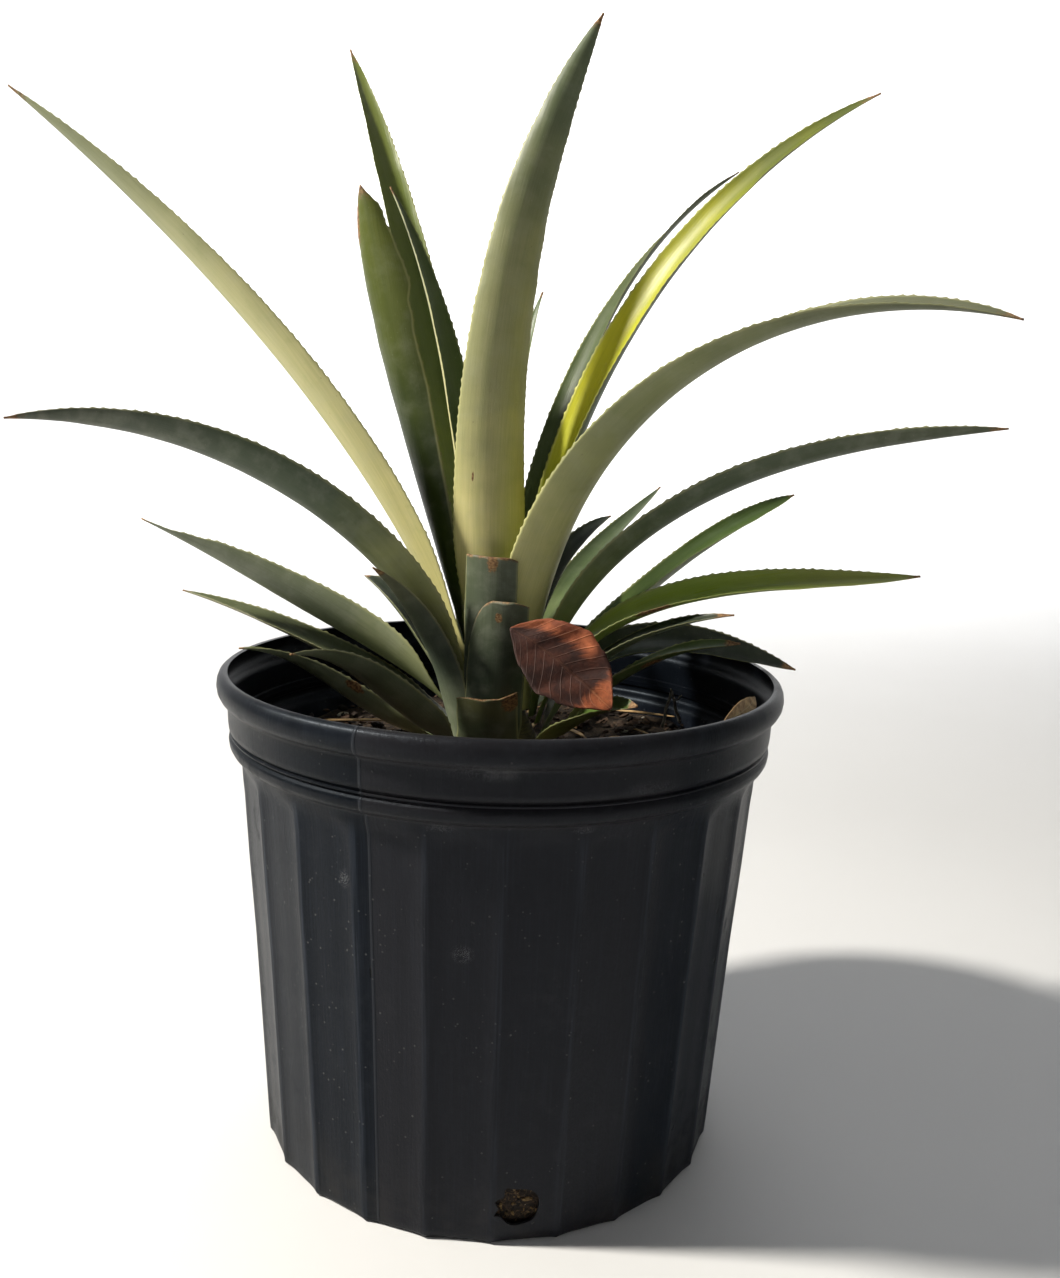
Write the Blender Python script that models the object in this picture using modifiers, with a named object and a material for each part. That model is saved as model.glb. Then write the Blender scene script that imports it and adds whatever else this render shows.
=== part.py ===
"""A young pineapple plant in a ribbed nursery pot. Sizes are in millimetres and angles in degrees;
MM turns a size into Blender's metres. Z is up, the pot's axis is the Z axis and its base is at Z = 0."""

import math
from collections import namedtuple

import bmesh
import bpy
from mathutils import Matrix, Vector

MM = 0.001
GAP = 0.3  # clearance between neighbouring pieces

# Pot, blow-moulded in thin plastic
POT_HEIGHT = 240.0
POT_WALL = 1.5
BASE_RADIUS = 115.4
HEEL_RADIUS = 116.4
HEEL_HEIGHT = 9.0
BODY_TOP_RADIUS = 128.5
COLLAR_DEPTH = 39.0  # from the rim down to the foot of the collar
COLLAR_RADIUS = 134.0
GROOVE_DEPTH = 1.6
BEAD_RADIUS = 140.0
BEAD_DEPTH = 14.0
RIM_RADIUS = 136.0
FLUTES = 24
FLUTE_DEPTH = 1.8
FLUTE_PHASE = 1.5  # turns the first ridge from the front
DRAIN_RADIUS = 9.5
DRAIN_HEIGHT = 18.0
DRAIN_PHASE = 7.5
DRAINS = 4

# Soil and stem
SOIL_DEPTH = 45.0  # from the rim down to the soil
SOCKET_DEPTH = 26.0
STEM_FOOT_RADIUS = 22.0
STEM_TOP_RADIUS = 3.2
STEM_TOP = 236.0

# Rosette: a leaf of rank 0 is the innermost; each rank roots lower and farther out
RANK_STEP = 0.8
RANK_DROP = 1.2
ROOT_GAP = 1.4
ROOT_LIFT = 6.0  # of the lowest roots above the soil
LEAF_THICKNESS = 1.2
TIP_WIDTH = 1.2
WRAP_LENGTH = 0.35  # share of a leaf over which it lets go of the stem
STEEPEST_WRAP = 80.0

Leaf = namedtuple("Leaf", "name rank azimuth heading turn rise length width root_width roll channel taper cut hue")

# rank, azimuth of the root, heading of the blade from it, turn towards the tip, rise at the root, middle
# and tip, length, width, share of the width at the root, roll at the root and tip, half angle of the
# channel at the middle and tip, taper power, shortfall of a cut end at its middle and margins, colour
LEAVES = (
    Leaf("heart_leaf_small", 1, 62, 0, -1, (86, 89, 55), 195, 15, 0.5, (0, 14, -1), (62, 46), 2.3, 0, "green"),
    Leaf("back_leaf_pale", 2, 152, 0, -1, (77, 78, 59), 250, 28, 0.3, (0, 8, -7), (62, 45), 2.4, 0, "pale"),
    Leaf("back_leaf_tall", 4, 128, 0, -3, (68, 67, 54), 365, 30, 0.35, (0, 3, 23), (62, 43), 2.5, 0, "green"),
    Leaf("right_leaf_upright", 6, -4, 0, -1, (86, 64, 27), 340, 32, 0.3, (0, -29, -40), (62, 45), 2.4, 0, "bright"),
    Leaf("left_leaf_blunt", 7, 160, 0, 7, (66, 75, 78), 255, 33, 0.3, (0, -51, -77), (63, 42), 8.2, 0, "bright"),
    Leaf("heart_leaf_tall", 8, -105, 111, 18, (94, 85, 60.5), 330, 41, 0.5, (110, 86, 113), (50, 44), 2.5, 0, "grey"),
    Leaf("right_leaf_serrated", 9, 58, 0, -23, (87, 60, 31), 335, 22, 0.4, (0, 8, 49), (62, 37), 2.4, 0, "grey"),
    Leaf("left_leaf_long", 10, -178, 0, 0, (69, 51, 38), 360, 40, 0.5, (0, -26, -26), (63, 46), 2.3, 0, "pale"),
    Leaf("right_leaf_young", 11, 46, 0, 1, (86, 54, 15), 120, 22, 0.3, (0, 0, -24), (62, 43), 2.5, 0, "dark"),
    Leaf("right_leaf_slender", 12, 58, 0, 0, (61, 27, 25), 195, 20, 0.35, (0, 1, 0), (62, 45), 2.3, 0, "grey"),
    Leaf("left_leaf_shaded", 12, 158, 0, 0, (64, 36, 8), 235, 24, 0.4, (0, -4, 4), (62, 45), 2.3, 0, "grey"),
    Leaf("right_leaf_arching", 13, -41, 0, 16, (91, 42, -13), 330, 46, 0.45, (0, -2, -23), (72, 45), 2.7, 0, "pale"),
    Leaf("left_leaf_arching", 15, -162, 0, 1, (69, 34, -5), 270, 36, 0.5, (0, -35, -37), (63, 47), 2.3, 0, "grey"),
    Leaf("right_leaf_long", 16, -16, 0, 3, (84, 31, 7), 280, 31, 0.45, (0, 18, 37), (59, 44), 2.6, 0, "grey"),
    Leaf("right_leaf_middle", 17, 37, 0, 0, (37, 30, 15), 225, 28, 0.3, (0, 10, -54), (62, 44), 2.5, 0, "green"),
    Leaf("back_leaf_short", 17, 97, 0, 0, (70, 48, 30), 130, 28, 0.4, (0, 0, 0), (60, 45), 2.2, 0, "grey"),
    Leaf("left_leaf_bent", 18.5, 142, 0, 0, (38, 44, 16), 100, 25, 0.4, (0, 0, 0), (60, 50), 6.0, 0, "dark"),
    Leaf("left_leaf_torn", 19, 174, 0, 3, (41, 28, 25), 190, 36, 0.3, (0, -52, -16), (63, 48), 2.0, 0, "grey"),
    Leaf("right_leaf_glossy", 19, -16, 0, 0, (77, 18, 10), 210, 28, 0.4, (0, -24, -41), (62, 44), 2.3, 0, "bright"),
    Leaf("back_leaf_low", 21, 106, 0, 0, (50, 36, 15), 120, 28, 0.4, (0, 0, 0), (60, 45), 2.2, 0, "dark"),
    Leaf("right_leaf_drooping", 23, 9, 0, -1, (81, 4, -15), 155, 26, 0.3, (0, -35, -43), (62, 43), 3.1, 0, "dark"),
    Leaf("left_leaf_olive", 23, 170, 0, -1, (28, 23, 13), 160, 24, 0.5, (0, 12, 0), (62, 46), 2.4, 0, "pale"),
    Leaf("right_leaf_dark", 23, -22, 0, 0, (66, 36, 10), 120, 20, 0.4, (0, -10, -20), (60, 45), 2.2, 0, "dark"),
    Leaf("front_leaf_short", 26, -150, 0, 12, (80, 62, 38), 104, 25, 0.2, (0, -8, -8), (58, 45), 3.0, 0, "dark"),
    Leaf("front_leaf_low", 26, -44, 0, -1, (22, 34, 4), 70, 24, 0.6, (0, -13, -47), (63, 45), 2.5, 0, "green"),
    Leaf("front_leaf_dark", 27, -141, 0, -1, (21, 40, 1), 110, 30, 0.28, (0, -24, -19), (62, 46), 2.3, 0, "dark"),
    Leaf("right_leaf_low", 27, -10, 0, -1, (50, 34, 3), 110, 22, 0.45, (0, 5, -39), (62, 42), 2.4, 0, "green"),
    Leaf("left_leaf_low", 27, -170, 0, 0, (-1, 36, 1), 115, 26, 0.45, (0, -31, 1), (63, 45), 2.3, 0, "grey"),
    Leaf("upper_stub", 27.7, -106, 0, 0, (88, 88, 88), 101, 29, 0.55, (0, 0, 0), (46, 46), 40.0, (5, 5, 7), "grey"),
    Leaf("lower_stub", 34.2, -101, 60, 0, (87, 87, 87), 79, 32.5, 0.8, (60, 60, 60), (52, 52), 40.0, (1.5, 26, 4), "grey"),
    Leaf("base_stub", 36, -101, 0, 0, (62, 72, 75), 37, 34, 0.85, (0, 0, 0), (50, 50), 40.0, (3, 7, 1), "pale"),
)

# Dead matter lying in the pot: where one end is, heading, turn, rise, length, width, roll, channel, colour
Litter = namedtuple("Litter", "name start heading turn rise length width roll channel hue")
LITTER = (
    Litter("dead_tree_leaf", (3, -46, 268), -12, -8, (-24, -36, -38), 60, 39, (-60, -52), (22, 34), "rust"),
    Litter("dry_rim_leaf", (97, -88, 237), 52, 20, (4, 2, 4), 46, 9, (-55, -50), (20, 30), "tan"),
    Litter("straw_left", (-112, 38, 198), -8, 10, (5, 3, 0), 62, 4, (0, 0), (30, 30), "tan"),
    Litter("straw_right", (62, 86, 198), -40, 20, (5, 3, 0), 42, 4, (0, 0), (30, 30), "tan"),
    Litter("dry_scrap", (24, -62, 198), 10, 0, (12, 8, 0), 26, 8, (0, 0), (40, 40), "tan"),
)

TWIG_FORK = (94.0, 57.0, 218.0)
TWIG_FEET = ((89.0, 50.0, 197.5), (101.0, 62.0, 197.5))
TWIG_RADIUS = 0.9

LEAF_COLOURS = {
    "grey": (0.22, 0.28, 0.19),
    "green": (0.14, 0.24, 0.07),
    "bright": (0.22, 0.34, 0.04),
    "pale": (0.42, 0.46, 0.24),
    "dark": (0.07, 0.11, 0.06),
    "rust": (0.28, 0.09, 0.03),
    "tan": (0.45, 0.33, 0.18),
}


def clear_scene():
    for obj in list(bpy.data.objects):
        bpy.data.objects.remove(obj, do_unlink=True)


def new_collection(name):
    collection = bpy.data.collections.new(name)
    bpy.context.scene.collection.children.link(collection)
    return collection


def material(name, colour, roughness, metallic=0.0):
    made = bpy.data.materials.new(name)
    made.use_nodes = True
    shader = made.node_tree.nodes["Principled BSDF"]
    shader.inputs["Base Color"].default_value = (*colour, 1.0)
    shader.inputs["Roughness"].default_value = roughness
    shader.inputs["Metallic"].default_value = metallic
    return made


def object_from(name, bm, collection, look=None):
    """One mesh object from a bmesh worked in millimetres."""
    bmesh.ops.scale(bm, vec=(MM, MM, MM), verts=bm.verts)
    mesh = bpy.data.meshes.new(name)
    bm.to_mesh(mesh)
    bm.free()
    for face in mesh.polygons:
        face.use_smooth = True
    made = bpy.data.objects.new(name, mesh)
    collection.objects.link(made)
    if look:
        mesh.materials.append(look)
    return made


def solidify(obj, thickness, offset):
    shell = obj.modifiers.new("wall", "SOLIDIFY")
    shell.thickness = thickness * MM
    shell.offset = offset
    shell.use_even_offset = True


def mix(a, b, share):
    return a + (b - a) * share


def smooth(share):
    share = min(1.0, max(0.0, share))
    return share * share * (3.0 - 2.0 * share)


def through_three(values, share):
    """A curve through three values, at the start, the middle and the end."""
    start, middle, end = values
    return (
        start * 2 * (share - 0.5) * (share - 1)
        + middle * 4 * share * (1 - share)
        + end * 2 * share * (share - 0.5)
    )


def around(radius, azimuth, height):
    turn = math.radians(azimuth)
    return Vector((radius * math.cos(turn), radius * math.sin(turn), height))


# Pot


def pot_profile():
    """Outer skin from the middle of the base to the lip: radius, height and share of the flutes."""
    top = POT_HEIGHT
    foot = top - COLLAR_DEPTH
    bead = top - BEAD_DEPTH
    return (
        (0.0, 0.0, 0.0),
        (BASE_RADIUS * 0.5, 0.0, 0.0),
        (BASE_RADIUS - 1.0, 0.0, 1.0),
        (BASE_RADIUS, 1.2, 1.0),
        (HEEL_RADIUS, HEEL_HEIGHT, 1.0),
        (BODY_TOP_RADIUS, foot - 3.0, 1.0),
        (BODY_TOP_RADIUS + 1.5, foot, 0.0),
        (COLLAR_RADIUS, foot + 4.0, 0.0),
        (COLLAR_RADIUS + 0.3, foot + 8.0, 0.0),
        (COLLAR_RADIUS - GROOVE_DEPTH, foot + 10.0, 0.0),
        (COLLAR_RADIUS, foot + 12.0, 0.0),
        (COLLAR_RADIUS + 1.0, bead, 0.0),
        (BEAD_RADIUS - 1.0, bead + 4.0, 0.0),
        (BEAD_RADIUS, bead + 8.0, 0.0),
        (BEAD_RADIUS - 1.2, top - 2.2, 0.0),
        (RIM_RADIUS, top, 0.0),
    )


def flute_shape(step):
    """Depth of a flute at a third of its width: none on the ridge, full in the hollow."""
    return 0.0 if step % 3 == 0 else FLUTE_DEPTH


def drain_cutter(number, collection):
    azimuth = -90 + DRAIN_PHASE + number * 360 / DRAINS
    bm = bmesh.new()
    bmesh.ops.create_cone(
        bm, cap_ends=True, segments=16, radius1=DRAIN_RADIUS, radius2=DRAIN_RADIUS, depth=30.0
    )
    place = (
        Matrix.Translation(around(HEEL_RADIUS, azimuth, DRAIN_HEIGHT))
        @ Matrix.Rotation(math.radians(azimuth), 4, "Z")
        @ Matrix.Rotation(math.radians(90), 4, "Y")
    )
    bmesh.ops.transform(bm, matrix=place, verts=bm.verts)
    cutter = object_from(f"drain_cutter_{number + 1}", bm, collection)
    cutter.hide_render = True
    cutter.display_type = "WIRE"
    return cutter


def pot(collection, cutters):
    rings = pot_profile()
    steps = FLUTES * 3
    bm = bmesh.new()
    bmesh.ops.create_grid(bm, x_segments=steps, y_segments=len(rings) - 1, size=0.5)
    for vert in bm.verts:
        step = round((vert.co.x + 0.5) * steps)
        radius, height, fluted = rings[round((vert.co.y + 0.5) * (len(rings) - 1))]
        azimuth = -90 + FLUTE_PHASE + step * 360 / steps
        vert.co = around(max(0.0, radius - fluted * flute_shape(step)), azimuth, height)
    bmesh.ops.remove_doubles(bm, verts=bm.verts, dist=0.01)
    bmesh.ops.recalc_face_normals(bm, faces=bm.faces)
    made = object_from("pot", bm, collection, material("pot_plastic", (0.012, 0.014, 0.018), 0.42))
    solidify(made, POT_WALL, -1.0)
    for number in range(DRAINS):
        cut = made.modifiers.new(f"drain_{number + 1}", "BOOLEAN")
        cut.operation = "DIFFERENCE"
        cut.solver = "EXACT"
        cut.object = drain_cutter(number, cutters)
    return made


# Soil and stem


def revolved(name, points, steps, collection, look):
    """A solid of revolution from a profile of radius and height, from the top down its outer side."""
    bm = bmesh.new()
    verts = [bm.verts.new((radius, 0.0, height)) for radius, height in points]
    for first, second in zip(verts, verts[1:]):
        bm.edges.new((first, second))
    made = object_from(name, bm, collection, look)
    screw = made.modifiers.new("turn", "SCREW")
    screw.steps = steps
    screw.render_steps = steps
    screw.use_merge_vertices = True
    screw.merge_threshold = 0.0001
    return made


def soil(collection):
    top = POT_HEIGHT - SOIL_DEPTH
    inset = POT_WALL + FLUTE_DEPTH + 2 * GAP
    floor = POT_WALL + GAP
    slope = (BODY_TOP_RADIUS - HEEL_RADIUS) / (POT_HEIGHT - COLLAR_DEPTH - 3.0 - HEEL_HEIGHT)
    socket = STEM_FOOT_RADIUS + GAP
    points = (
        (0.0, top - SOCKET_DEPTH),
        (socket, top - SOCKET_DEPTH),
        (socket, top + 1.0),
        (socket + 30.0, top + 2.0),
        (90.0, top - 1.0),
        (HEEL_RADIUS + slope * (top - HEEL_HEIGHT) - inset, top - 3.0),
        (HEEL_RADIUS - inset, HEEL_HEIGHT + 1.0),
        (BASE_RADIUS - inset - 4.0, floor),
        (0.0, floor),
    )
    return revolved("soil", points, 48, collection, material("potting_soil", (0.012, 0.010, 0.008), 0.95))


def stem(collection):
    top = POT_HEIGHT - SOIL_DEPTH
    points = (
        (0.0, STEM_TOP),
        (STEM_TOP_RADIUS, STEM_TOP - 1.0),
        (STEM_FOOT_RADIUS, top + 3.0),
        (STEM_FOOT_RADIUS, top - SOCKET_DEPTH + GAP),
        (0.0, top - SOCKET_DEPTH + GAP),
    )
    return revolved("stem", points, 24, collection, material("stem_bark", (0.20, 0.16, 0.09), 0.8))


# Leaves


def leaf_root(leaf):
    radius = STEM_TOP_RADIUS + ROOT_GAP + leaf.rank * RANK_STEP
    lowest = POT_HEIGHT - SOIL_DEPTH + ROOT_LIFT
    return around(radius, leaf.azimuth, max(lowest, STEM_TOP - leaf.rank * RANK_DROP))


def blade_directions(heading, turn, rise, share):
    """The way along a blade and the level way across it, at a share of its length."""
    up = math.radians(through_three(rise, share))
    way = math.radians(heading + turn * share)
    along = Vector((math.cos(up) * math.cos(way), math.cos(up) * math.sin(way), math.sin(up)))
    return along, Vector((math.sin(way), -math.cos(way), 0.0))


def stations_along(start, heading, turn, rise, length, steps):
    """Points, directions and level sideways directions along the middle of a blade."""
    point = Vector(start)
    stations = []
    fine = 8
    stride = length / (steps * fine)
    for step in range(steps * fine + 1):
        if step % fine == 0:
            along, side = blade_directions(heading, turn, rise, step / (steps * fine))
            stations.append((point.copy(), along, side))
        point += blade_directions(heading, turn, rise, (step + 0.5) / (steps * fine))[0] * stride
    return stations


def section_point(station, half, bend, across, roll):
    """A point of a blade's middle sheet: its section is an arc, rolled about the middle line."""
    point, along, side = station
    turn = across * half / bend
    upper = side.cross(along)
    over = side * math.cos(roll) + upper * math.sin(roll)
    inner = upper * math.cos(roll) - side * math.sin(roll)
    return point + over * (bend * math.sin(turn)) + inner * (bend * (1 - math.cos(turn)))


def leaf_half_width(leaf, share):
    taper = (1.0 - share**leaf.taper) ** 0.8 if share < 1.0 else 0.0
    if leaf.cut:
        taper = 1.0
    opening = mix(leaf.root_width, 1.0, smooth(share / 0.25))
    return max(TIP_WIDTH, leaf.width * taper * opening) / 2


def cut_back(leaf, across):
    """How far the end of a cut leaf falls short at its middle, its left margin and its right margin."""
    middle, left, right = leaf.cut
    side = left if across > 0 else right
    return middle * (1 - across * across) + side * abs(across) ** 2.5


def leaf_point(leaf, station, share, across):
    """The leaf wraps the stem at its root and opens into its own channel farther out."""
    point, along, side = station
    half = leaf_half_width(leaf, share)
    hug = min(32.0, max(math.hypot(point.x, point.y), half / math.radians(STEEPEST_WRAP)))
    channel = half / math.radians(mix(leaf.channel[0], leaf.channel[1], share))
    bend = mix(hug, channel, smooth(share / WRAP_LENGTH)) if hug > channel else channel
    roll = math.radians(through_three(leaf.roll, share))
    found = section_point(station, half, bend, across, roll)
    if leaf.cut:
        found -= along * cut_back(leaf, across) * share**3
    return found


def litter_point(piece, station, share, across):
    half = max(TIP_WIDTH, piece.width * math.sin(math.pi * share) ** 0.8) / 2
    bend = half / math.radians(mix(piece.channel[0], piece.channel[1], share))
    roll = math.radians(mix(piece.roll[0], piece.roll[1], share))
    return section_point(station, half, bend, across, roll)


def blade(piece, start, heading, point_of, collection, look):
    """A thin sheet along its middle line, thickened into one solid."""
    steps = 14 if piece.length > 200 else 10 if piece.length > 120 else 8
    across = 4
    stations = stations_along(start, heading, piece.turn, piece.rise, piece.length, steps)
    bm = bmesh.new()
    bmesh.ops.create_grid(bm, x_segments=steps, y_segments=across, size=0.5)
    for vert in bm.verts:
        step = round((vert.co.x + 0.5) * steps)
        vert.co = point_of(piece, stations[step], step / steps, 2.0 * vert.co.y)
    bmesh.ops.recalc_face_normals(bm, faces=bm.faces)
    made = object_from(piece.name, bm, collection, look)
    solidify(made, LEAF_THICKNESS, 0.0)
    return made


def leaves(collection, looks):
    for leaf in LEAVES:
        heading = leaf.azimuth + leaf.heading
        blade(leaf, leaf_root(leaf), heading, leaf_point, collection, looks[leaf.hue])


def litter(collection, looks):
    for piece in LITTER:
        blade(piece, piece.start, piece.heading, litter_point, collection, looks[piece.hue])


def twig(collection):
    curve = bpy.data.curves.new("twig", "CURVE")
    curve.dimensions = "3D"
    curve.bevel_depth = TWIG_RADIUS * MM
    curve.bevel_resolution = 1
    curve.resolution_u = 1
    curve.render_resolution_u = 0
    curve.use_fill_caps = True
    route = (TWIG_FEET[0], TWIG_FORK, TWIG_FEET[1])
    line = curve.splines.new("POLY")
    line.points.add(len(route) - 1)
    for point, place in zip(line.points, route):
        point.co = (*(Vector(place) * MM), 1.0)
    curve.materials.append(material("twig_bark", (0.16, 0.14, 0.12), 0.85))
    made = bpy.data.objects.new("twig", curve)
    collection.objects.link(made)
    return made


def main():
    clear_scene()
    plant = new_collection("potted_pineapple")
    cutters = new_collection("cutters")
    pot(plant, cutters)
    soil(plant)
    stem(plant)
    looks = {name: material(f"leaf_{name}", colour, 0.45) for name, colour in LEAF_COLOURS.items()}
    leaves(plant, looks)
    litter(plant, looks)
    twig(plant)


main()
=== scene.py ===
"""Looks of a young pineapple plant in its ribbed nursery pot. Shapes are worked in millimetres."""

import math
from collections import namedtuple

import bmesh
import bpy
import numpy as np
from mathutils import Matrix, Vector, noise


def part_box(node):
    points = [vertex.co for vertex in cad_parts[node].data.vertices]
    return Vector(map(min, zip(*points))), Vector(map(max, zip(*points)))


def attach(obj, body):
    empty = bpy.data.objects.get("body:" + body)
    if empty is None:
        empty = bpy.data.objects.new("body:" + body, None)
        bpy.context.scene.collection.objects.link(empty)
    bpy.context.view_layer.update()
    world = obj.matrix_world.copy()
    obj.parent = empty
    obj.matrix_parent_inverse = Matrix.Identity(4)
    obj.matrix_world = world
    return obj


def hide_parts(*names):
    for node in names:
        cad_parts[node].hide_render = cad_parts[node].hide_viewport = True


MM = 0.001
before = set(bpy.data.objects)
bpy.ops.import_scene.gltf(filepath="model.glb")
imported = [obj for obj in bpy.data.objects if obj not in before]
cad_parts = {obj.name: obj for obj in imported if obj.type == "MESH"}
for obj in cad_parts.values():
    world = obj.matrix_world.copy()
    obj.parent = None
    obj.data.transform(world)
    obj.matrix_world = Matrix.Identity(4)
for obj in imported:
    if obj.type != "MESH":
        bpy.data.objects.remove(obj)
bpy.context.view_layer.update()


# Camera


def make_camera():
    data = bpy.data.cameras.new("camera")
    data.sensor_width = 36.0
    data.lens = 34.254
    data.clip_start = 0.01
    camera = bpy.data.objects.new("camera", data)
    bpy.context.scene.collection.objects.link(camera)
    pitch = math.radians(10.8)
    roll = math.radians(2.1)
    yaw = math.radians(-1.28)
    level_right = Vector((math.cos(yaw), math.sin(yaw), 0.0))
    level_ahead = Vector((-math.sin(yaw), math.cos(yaw), 0.0))
    ahead = level_ahead * math.cos(pitch) - Vector((0.0, 0.0, 1.0)) * math.sin(pitch)
    level_up = level_right.cross(ahead)
    right = level_right * math.cos(roll) + level_up * math.sin(roll)
    up = level_up * math.cos(roll) - level_right * math.sin(roll)
    turned = Matrix((right, up, -ahead)).transposed().to_4x4()
    place = (0.0, -0.6, 0.369)
    camera.matrix_world = Matrix.Translation(place) @ turned
    bpy.context.scene.camera = camera


make_camera()


# Shader building: sockets behave like numbers, and every other node comes from Finish.node


class Value:
    """A shader socket that takes part in Python arithmetic."""

    def __init__(self, finish, socket):
        self.finish = finish
        self.socket = socket

    def math(self, operation, *others):
        sockets = {index: item for index, item in enumerate((self, *others))}
        return self.finish.node("Math", {"operation": operation}, sockets)

    def __add__(self, other):
        return self.math("ADD", other)

    def __sub__(self, other):
        return self.math("SUBTRACT", other)

    def __mul__(self, other):
        return self.math("MULTIPLY", other)

    def __truediv__(self, other):
        return self.math("DIVIDE", other)

    def __rsub__(self, other):
        return self.finish.node("Math", {"operation": "SUBTRACT"}, {0: other, 1: self})

    def __abs__(self):
        return self.math("ABSOLUTE")

    __radd__ = __add__
    __rmul__ = __mul__


class Finish:
    """One material and the nodes that make its colour, gloss and relief."""

    def __init__(self, name):
        self.material = bpy.data.materials.new(name)
        self.material.use_nodes = True
        self.tree = self.material.node_tree
        self.shader = self.tree.nodes["Principled BSDF"]

    def node(self, kind, settings=None, sockets=None, out=0):
        """Adds a shader node, sets it up and wires it; gives back one of its outputs."""
        made = self.tree.nodes.new("ShaderNode" + kind)
        for key, item in (settings or {}).items():
            if key == "stops":
                self.set_stops(made.color_ramp, item)
            else:
                setattr(made, key, item)
        for key, item in (sockets or {}).items():
            self.feed(made.inputs[key], item)
        return Value(self, made.outputs[out])

    def set_stops(self, ramp, stops):
        while len(ramp.elements) < len(stops):
            ramp.elements.new(0.5)
        for element, (place, colour) in zip(ramp.elements, stops):
            element.position = place
            element.color = (*colour, 1.0)

    def feed(self, socket, item):
        if isinstance(item, Value):
            self.tree.links.new(item.socket, socket)
        elif hasattr(socket.default_value, "__len__") and len(socket.default_value) == 4:
            socket.default_value = (*item[:3], 1.0)
        else:
            socket.default_value = item

    def surface(self, **sockets):
        for key, item in sockets.items():
            self.feed(self.shader.inputs[key.replace("_", " ")], item)
        return self.material

    # Inputs

    def place(self):
        return self.node("TexCoord", out="Object")

    def parts(self, vector):
        split = self.node("SeparateXYZ", sockets={0: vector})
        outputs = split.socket.node.outputs
        return [Value(self, outputs[index]) for index in range(3)]

    def map_named(self, name):
        return self.node("UVMap", {"uv_map": name})

    def amount_named(self, name):
        return self.node("Attribute", {"attribute_name": name}, out="Fac")

    def vector(self, x, y, z):
        return self.node("CombineXYZ", sockets={0: x, 1: y, 2: z})

    def stretched(self, vector, scale):
        return self.node("VectorMath", {"operation": "MULTIPLY"}, {0: vector, 1: scale})

    def moved(self, vector, distance):
        return self.node("VectorMath", {"operation": "ADD"}, {0: vector, 1: distance})

    def length(self, vector):
        return self.node("VectorMath", {"operation": "LENGTH"}, {0: vector}, out="Value")

    # Patterns

    def grain(self, vector, scale, detail=3.0, rough=0.55, bend=0.0):
        sockets = {"Vector": vector, "Scale": scale, "Detail": detail}
        sockets |= {"Roughness": rough, "Distortion": bend}
        return self.node("TexNoise", sockets=sockets)

    def flecks(self, vector, scale):
        """Distance from scattered points."""
        return self.node("TexVoronoi", sockets={"Vector": vector, "Scale": scale})

    def ease(self, value, low, high, start=0.0, end=1.0):
        settings = {"interpolation_type": "SMOOTHSTEP", "clamp": True}
        sockets = {"Value": value, 1: low, 2: high, 3: start, 4: end}
        return self.node("MapRange", settings, sockets)

    def fade(self, value, low, high):
        """1 below low, 0 above high."""
        return self.ease(value, low, high, 1.0, 0.0)

    def between(self, value, low, high, soft):
        """1 between two values, fading over soft."""
        return self.ease(value, low - soft, low) * self.fade(value, high, high + soft)

    # Colours

    def blend(self, share, first, second, way="MIX"):
        settings = {"data_type": "RGBA", "blend_type": way, "clamp_factor": True}
        return self.node("Mix", settings, {0: share, 6: first, 7: second}, out=2)

    def times(self, colour, other):
        """A colour multiplied by another."""
        return self.blend(1.0, colour, other, "MULTIPLY")

    def ramp(self, value, stops):
        return self.node("ValToRGB", {"stops": stops}, {0: value})

    def relief(self, height, strength, depth, under=None):
        sockets = {"Height": height, "Strength": strength, "Distance": depth}
        if under:
            sockets["Normal"] = under
        return self.node("Bump", sockets=sockets)


def tone(red, green, blue):
    """A colour given as it is seen, from 0 to 255, as light amounts."""
    dark_limit = 10
    amounts = []
    for seen in (red, green, blue):
        share = seen / 255
        amounts.append(((share + 0.055) / 1.055) ** 2.4 if seen > dark_limit else share / 12.92)
    return tuple(amounts)


# Mesh building


def mesh_piece(name, points, faces, look, slot_name, stands_for=()):
    """A smooth piece from points in millimetres, riding on the plant."""
    mesh = bpy.data.meshes.new(name)
    mesh.from_pydata((np.asarray(points) * MM).tolist(), [], faces)
    mesh.materials.append(look)
    mesh.polygons.foreach_set("use_smooth", [True] * len(mesh.polygons))
    piece = bpy.data.objects.new(name, mesh)
    bpy.context.scene.collection.objects.link(piece)
    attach(piece, "root")
    if stands_for:
        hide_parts(*stands_for)
    return piece


def add_map(mesh, name, pairs):
    """A UV map from one pair of numbers for each point."""
    layer = mesh.uv_layers.new(name=name)
    corners = np.empty(len(mesh.loops), dtype=np.int32)
    mesh.loops.foreach_get("vertex_index", corners)
    layer.data.foreach_set("uv", np.asarray(pairs, dtype=np.float32)[corners].ravel())


def add_amount(mesh, name, values):
    """One number for each point."""
    layer = mesh.attributes.new(name, "FLOAT", "POINT")
    layer.data.foreach_set("value", np.asarray(values, dtype=np.float32))


def ring_faces(rings, around):
    """Quads between rings of points, with a face over each end ring."""
    faces = []
    for ring in range(rings - 1):
        low = ring * around
        for step in range(around):
            following = (step + 1) % around
            faces.append((low + step, low + following, low + around + following, low + around + step))
    faces.append(tuple(range(around - 1, -1, -1)))
    faces.append(tuple(range((rings - 1) * around, rings * around)))
    return faces


def smooth(share):
    share = np.clip(share, 0.0, 1.0)
    return share * share * (3.0 - 2.0 * share)


def mix(a, b, share):
    return a + (b - a) * share


def through_three(values, share):
    """The curve that has the three values at its start, middle and end."""
    start, middle, end = values
    first = start * 2 * (share - 0.5) * (share - 1)
    second = middle * 4 * share * (1 - share)
    return first + second + end * 2 * share * (share - 0.5)


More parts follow.
